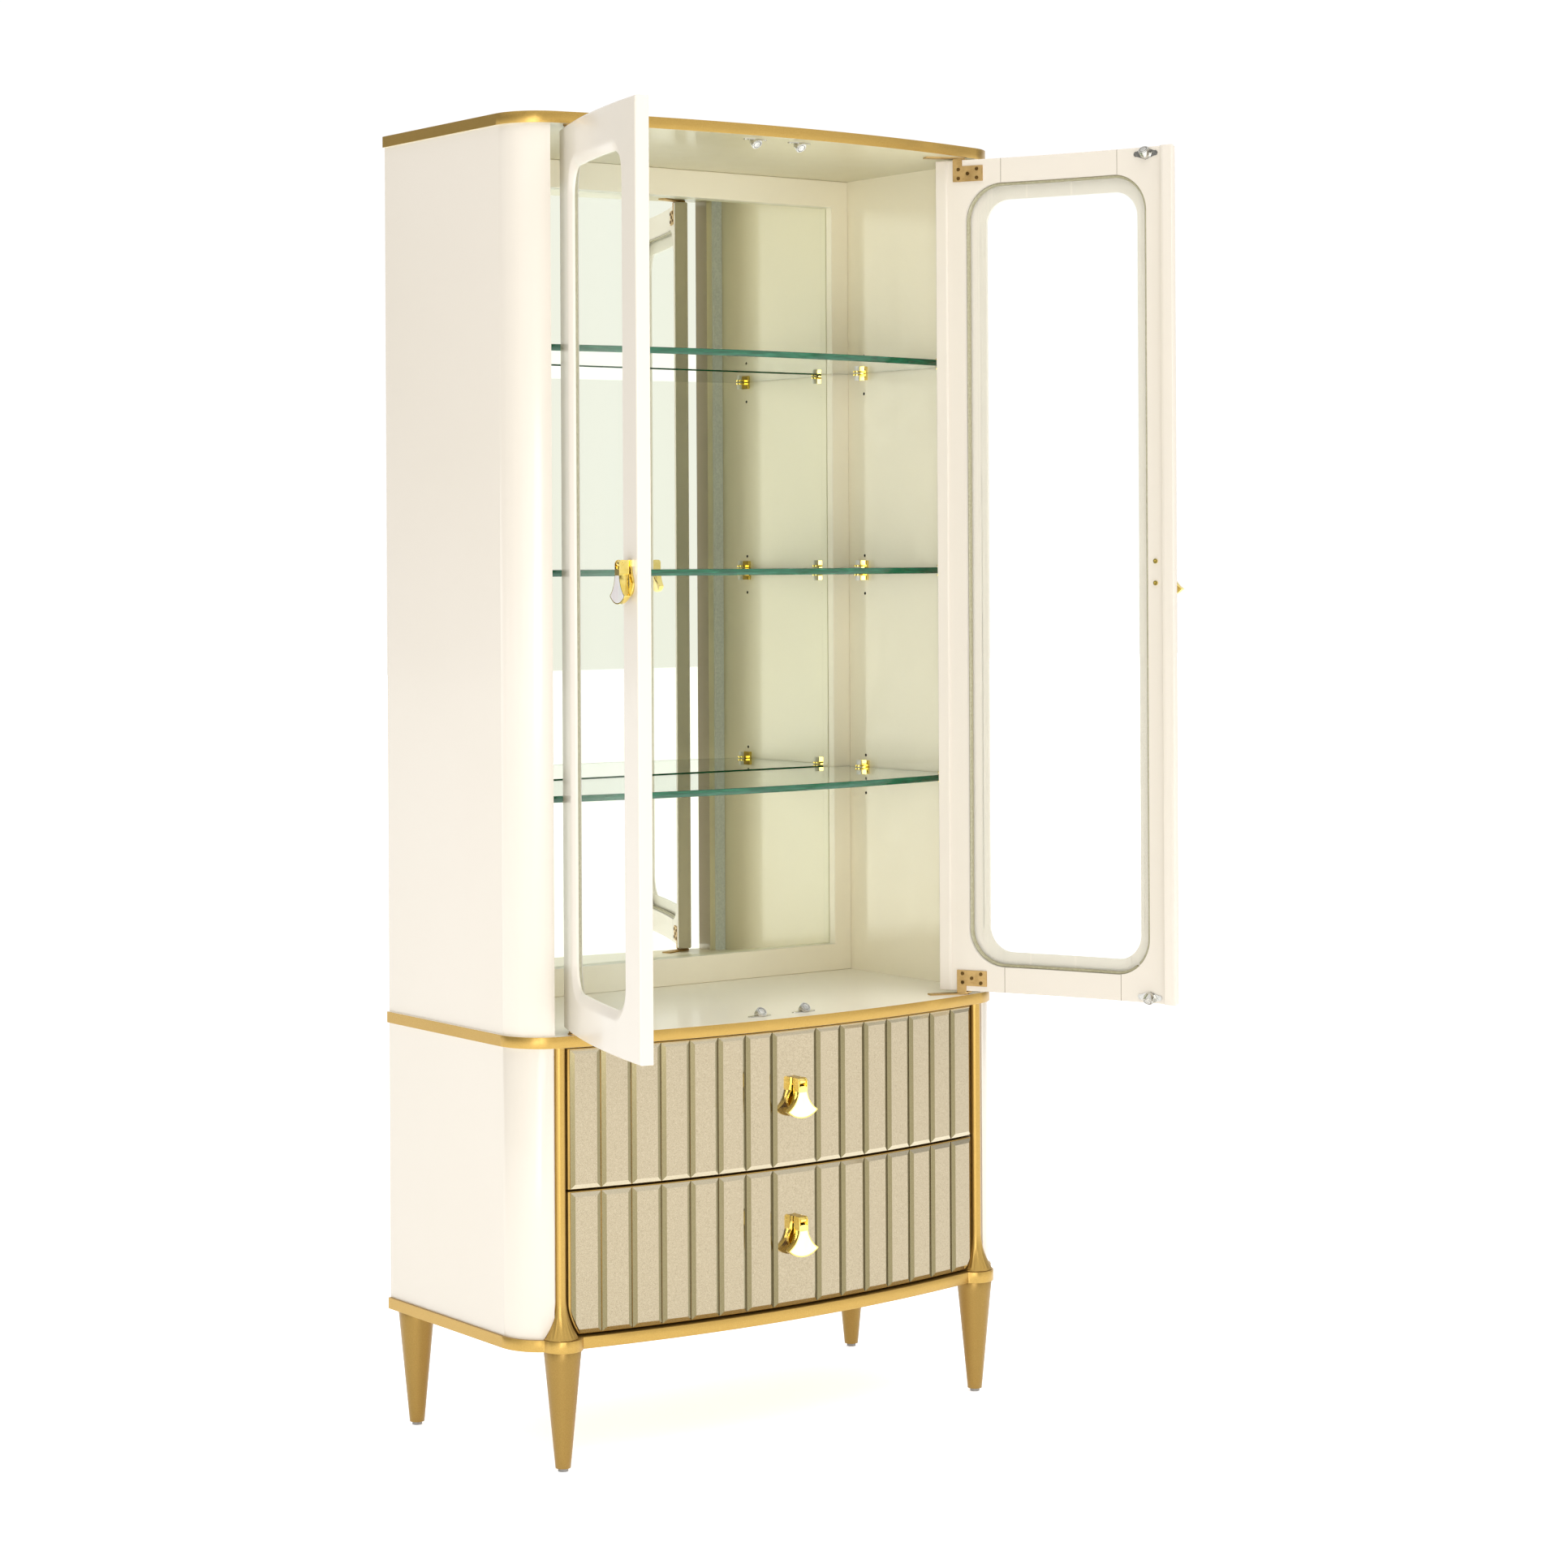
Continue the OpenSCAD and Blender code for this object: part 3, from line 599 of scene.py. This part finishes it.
def solid_between(name, faces, front, back):
    """A closed piece from matching front and back points, walled round its border."""
    used = sorted({i for face in faces for i in face})
    index = {v: k for k, v in enumerate(used)}
    count = len(used)
    verts = [front[v] for v in used] + [back[v] for v in used]
    skin = [tuple(index[i] for i in face) for face in faces]
    sides = {(a, b) for face in skin for a, b in zip(face, face[1:] + face[:1])}
    walls = [(b, a, a + count, b + count) for a, b in sides if (b, a) not in sides]
    under = [tuple(i + count for i in reversed(face)) for face in skin]
    obj = new_piece(name, verts, skin + under + walls)
    return obj, used


def surface_normal(side, x, z, near, depth, out):
    """The outward normal at (x, z) of a door surface, its slope read just inside the face at near."""
    step = 0.00002
    u, v = x + (near[0] - x) * 0.1, z + (near[1] - z) * 0.1
    slope_x = (depth(u + step, v) - depth(u - step, v)) / (2 * step)
    slope_z = (depth(u, v + step) - depth(u, v - step)) / (2 * step)
    r = DOOR_R - depth(u, v)
    bowed = Vector((side * (x / r + slope_x), -math.sqrt(1 - (x / r) ** 2), slope_z)) * out
    return (door_turn(side) @ bowed).normalized()


def true_normals(obj, side, used, plan_points):
    """Shades both skins of a frame piece by the surface they follow, not by their triangles."""
    mesh = obj.data
    count = len(used)
    normals = []
    for face in mesh.polygons:
        corners = [plan_points[used[v % count]] for v in face.vertices]
        near = (sum(c[0] for c in corners) / len(corners), sum(c[1] for c in corners) / len(corners))
        fronts = [v < count for v in face.vertices]
        if all(fronts):
            normals += [surface_normal(side, c[0], c[1], near, front_depth, 1) for c in corners]
        elif not any(fronts):
            normals += [surface_normal(side, c[0], c[1], near, back_depth, -1) for c in corners]
        else:
            normals += [face.normal.copy() for _ in corners]
    mesh.normals_split_custom_set(normals)


def door_frame(side, plan):
    """Two stiles and two rails for one door, each in place of its CAD piece."""
    hand = "right" if side > 0 else "left"
    verts, kept = plan
    front = [on_door(side, v.x, front_depth(v.x, v.y), v.y) for v in verts]
    back = [on_door(side, v.x, back_depth(v.x, v.y), v.y) for v in verts]

    def part_of(m):
        if m.x < JOINTS_X[0]:
            return "lock_stile"
        if m.x > JOINTS_X[1]:
            return "hinge_stile"
        return "top_rail" if m.y > MIDDLE_Z else "bottom_rail"

    for part in ("lock_stile", "hinge_stile", "top_rail", "bottom_rail"):
        chosen = [(tuple(face), m) for face, m in kept if part_of(m) == part]
        faces = [face for face, _ in chosen]
        obj, used = solid_between(f"{hand}_{part}_wood", faces, front, back)
        true_normals(obj, side, used, verts)
        obj.data.materials.append(MATERIALS["cream_lacquer"])
        paint_faces(obj, JOINT_LINE, [len(faces) + k for k, (_, m) in enumerate(chosen)
                                      if from_joint(m.x) < JOINT_V[1] and inside(REBATE, m.x, m.y) > 0])
        stand_for(obj, f"{hand}_{part}", f"{hand}_door")


def glass_bead(side):
    """The half-round strip that holds the pane, butted at one corner."""
    hand = "right" if side > 0 else "left"
    bottom, top = LIP_T + GLASS_T, DOOR_T - BEAD_SHY
    profile = []
    for k in range(9):
        a = math.radians(180 * k / 8)
        height = (top - bottom) * (0.35 + 0.65 * math.sin(a))
        profile.append((BEAD_W * (0.5 - 0.5 * math.cos(a)), bottom + height))
    profile += [(BEAD_W, bottom), (0, bottom)]
    rings = [subdivided(outline(inset(REBATE, u), 14)) for u, _ in profile]
    start = 60          # the point of each ring where the strip's two ends meet
    rings = [ring[start:] + ring[:start] for ring in rings]
    count = len(rings[0])
    verts = [on_door(side, ring[k][0], depth, ring[k][1])
             for k in range(count) for ring, (_, depth) in zip(rings, profile)]
    n = len(profile)
    faces = [(k * n + j, k * n + (j + 1) % n, (k + 1) * n + (j + 1) % n, (k + 1) * n + j)
             for k in range(count - 1) for j in range(n)]
    faces += [tuple(range(n)), tuple((count - 1) * n + j for j in reversed(range(n)))]
    obj = new_piece(f"{hand}_bead_strip", verts, faces)
    obj.data.materials.append(MATERIALS["grey_bead"])
    stand_for(obj, f"{hand}_glass_bead", f"{hand}_door")


def subdivided(ring, parts=12):
    """The ring with its long straight runs cut up, so that it can follow the bow."""
    points = []
    for (xa, za), (xb, zb) in zip(ring, ring[1:] + ring[:1]):
        cuts = parts if abs(xb - xa) > 0.1 or abs(zb - za) > 0.1 else 1
        points += [(xa + (xb - xa) * k / cuts, za + (zb - za) * k / cuts) for k in range(cuts)]
    return points


plan = door_plan()
for side in (-1, 1):
    door_frame(side, plan)
    glass_bead(side)


# ---------- pilasters with fluted trumpet feet ----------

ROD_R = 0.0085
FOOT_R = 0.027
FOOT_H = 0.060
FOOT_LIP = [0.0012, 0.0003, 0, 0.0005]          # how far the lowest levels draw in, round the foot's rim
LIP_LEVELS = [0, 0.0005, 0.0012, 0.0022]        # their heights
FOOT_LEVELS = 20
FLUTE_FROM = 0.0035     # the flutes and the plain levels start here
FLUTES = 22
FLUTE_D = 0.0007        # deepest point of a flute
FLUTE_H = 0.034         # where the flutes fade out


def foot_radius(h):
    """Radius of the trumpet foot at height h: an arc that meets the rod at its top."""
    spread = FOOT_R - ROD_R
    arc = (spread * spread + FOOT_H * FOOT_H) / (2 * spread)
    return ROD_R + arc - math.sqrt(arc * arc - (FOOT_H - h) ** 2) if h < FOOT_H else ROD_R


def pilasters():
    """Both rods, their feet fluted as the casting is."""
    low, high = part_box("pilasters")
    rise = FOOT_H - FLUTE_FROM
    heights = LIP_LEVELS + [FLUTE_FROM + rise * (k / FOOT_LEVELS) for k in range(FOOT_LEVELS + 1)]
    heights.append(high.z - low.z)
    around = FLUTES * 8
    verts, faces = [], []
    for side in (-1, 1):
        centre = Vector((side * (high.x - FOOT_R), low.y + FOOT_R, low.z))
        base = len(verts)
        for level, h in enumerate(heights):
            fade = max(0, 1 - h / FLUTE_H) if h >= FLUTE_FROM else 0
            lip = FOOT_LIP[level] if level < len(FOOT_LIP) else 0
            for k in range(around):
                a = math.tau * k / around
                groove = FLUTE_D * fade ** 0.7 * abs(math.sin(FLUTES * a / 2)) ** 1.5
                r = foot_radius(h) - groove - lip
                verts.append(centre + Vector((r * math.cos(a), r * math.sin(a), h)))
        for level in range(len(heights) - 1):
            for k in range(around):
                a, b = base + level * around + k, base + level * around + (k + 1) % around
                faces.append((a, b, b + around, a + around))
        faces.append(tuple(base + k for k in reversed(range(around))))
        faces.append(tuple(len(verts) - around + k for k in range(around)))
    obj = new_piece("pilaster_rods", verts, faces, 50)
    obj.data.materials.append(MATERIALS["gold_lacquer"])
    stand_for(obj, "pilasters", "carcass")


pilasters()


# ---------- studio ----------

# each bright side's direction, and how squarely a ray has to face it for the light to begin and be full
BRIGHT_SIDES = [((0.5, -0.866, 0), (0.74, 0.86)),           # front
                ((0.5955, 0.8034, 0), (0.72, 0.82)),        # backdrop
                ((0, 0, 1), (0.3, 0.6))]                    # ceiling
DIM, BRIGHT = 0.26, 1.03        # the light between the bright sides, and theirs


def emitter(name, place, target, size, power):
    """A soft box aimed at a point."""
    data = bpy.data.lights.new(name, "AREA")
    data.shape = "RECTANGLE"
    data.size, data.size_y = size
    data.energy = power
    obj = bpy.data.objects.new(name, data)
    bpy.context.scene.collection.objects.link(obj)
    obj.location = place
    obj.rotation_euler = (Vector(target) - Vector(place)).to_track_quat("-Z", "Y").to_euler()
    return obj


def surroundings():
    """White all round, with dimmer stretches at the sides that give metal and bevels their shading."""
    world = bpy.data.worlds.new("studio")
    bpy.context.scene.world = world
    world.use_nodes = True
    tree = world.node_tree
    background = tree.nodes["Background"]

    def add(kind, *values, **props):
        node = tree.nodes.new(kind)
        for key, value in props.items():
            setattr(node, key, value)
        for socket, value in enumerate(values):
            if hasattr(value, "links"):
                tree.links.new(value, node.inputs[socket])
            else:
                node.inputs[socket].default_value = value
        return node

    direction = add("ShaderNodeTexCoord").outputs["Generated"]
    total = None
    for axis, (low, high) in BRIGHT_SIDES:
        facing = add("ShaderNodeVectorMath", direction, axis, operation="DOT_PRODUCT").outputs["Value"]
        step = add("ShaderNodeMapRange", facing, low, high, 0.0, 1.0).outputs[0]
        if total is None:
            total = step
        else:
            total = add("ShaderNodeMath", total, step, operation="MAXIMUM").outputs[0]
    strength = add("ShaderNodeMapRange", total, 0.0, 1.0, DIM, BRIGHT).outputs[0]
    tree.links.new(strength, background.inputs["Strength"])
    background.inputs["Color"].default_value = (1, 1, 1, 1)


def paper_floor():
    """A pale floor that glows a little, so that it shows white."""
    bpy.ops.mesh.primitive_plane_add(size=60, location=(0, 0, -0.0005))
    floor = bpy.context.object
    floor.name = "floor"
    paper = Mat("floor", Emission_Color=(0.9, 0.94, 1, 1), Emission_Strength=0.6)
    paper.colour(paper.ramp(paper.noise(8, 2), [(0.3, srgb(250, 250, 248)), (0.7, srgb(253, 253, 252))]))
    paper.rough(paper.spread(paper.noise(40, 2), 0.75, 0.85))
    floor.data.materials.append(paper.mat)


def studio():
    """The surroundings, the floor and four soft boxes; two of them don't show in reflections."""
    surroundings()
    paper_floor()
    emitter("side_light", (-4.6, -2.4, 1.4), (-0.2, -0.2, 1.1), (1.6, 2.6), 8)
    emitter("front_left_light", (-3.6, -4.4, 1.3), (0.1, -0.2, 1.1), (2.0, 2.6), 84)
    front_right = emitter("front_right_light", (3.0, -4.5, 1.5), (0, -0.2, 1.1), (2.4, 2.4), 16)
    top = emitter("top_light", (0, -2.0, 4.4), (0, -0.3, 1.0), (3, 3), 52)
    front_right.visible_glossy = False
    top.visible_glossy = False


def camera():
    """The viewing angle: level, from the front left, with the frame shifted down to the feet."""
    data = bpy.data.cameras.new("camera")
    data.sensor_width = 36
    data.lens = 77.51
    data.shift_y = -0.1434
    obj = bpy.data.objects.new("camera", data)
    bpy.context.scene.collection.objects.link(obj)
    obj.location = (-3.0855, -4.5865, 1.340)
    obj.rotation_mode = "XYZ"
    turn = Euler((math.radians(90), 0, math.radians(-36.547)), "XYZ").to_matrix()
    roll = Euler((0, 0, math.radians(-0.302)), "XYZ").to_matrix()
    obj.rotation_euler = (turn @ roll).to_euler("XYZ")
    bpy.context.scene.camera = obj


studio()
camera()
bpy.context.scene.view_settings.view_transform = "Standard"
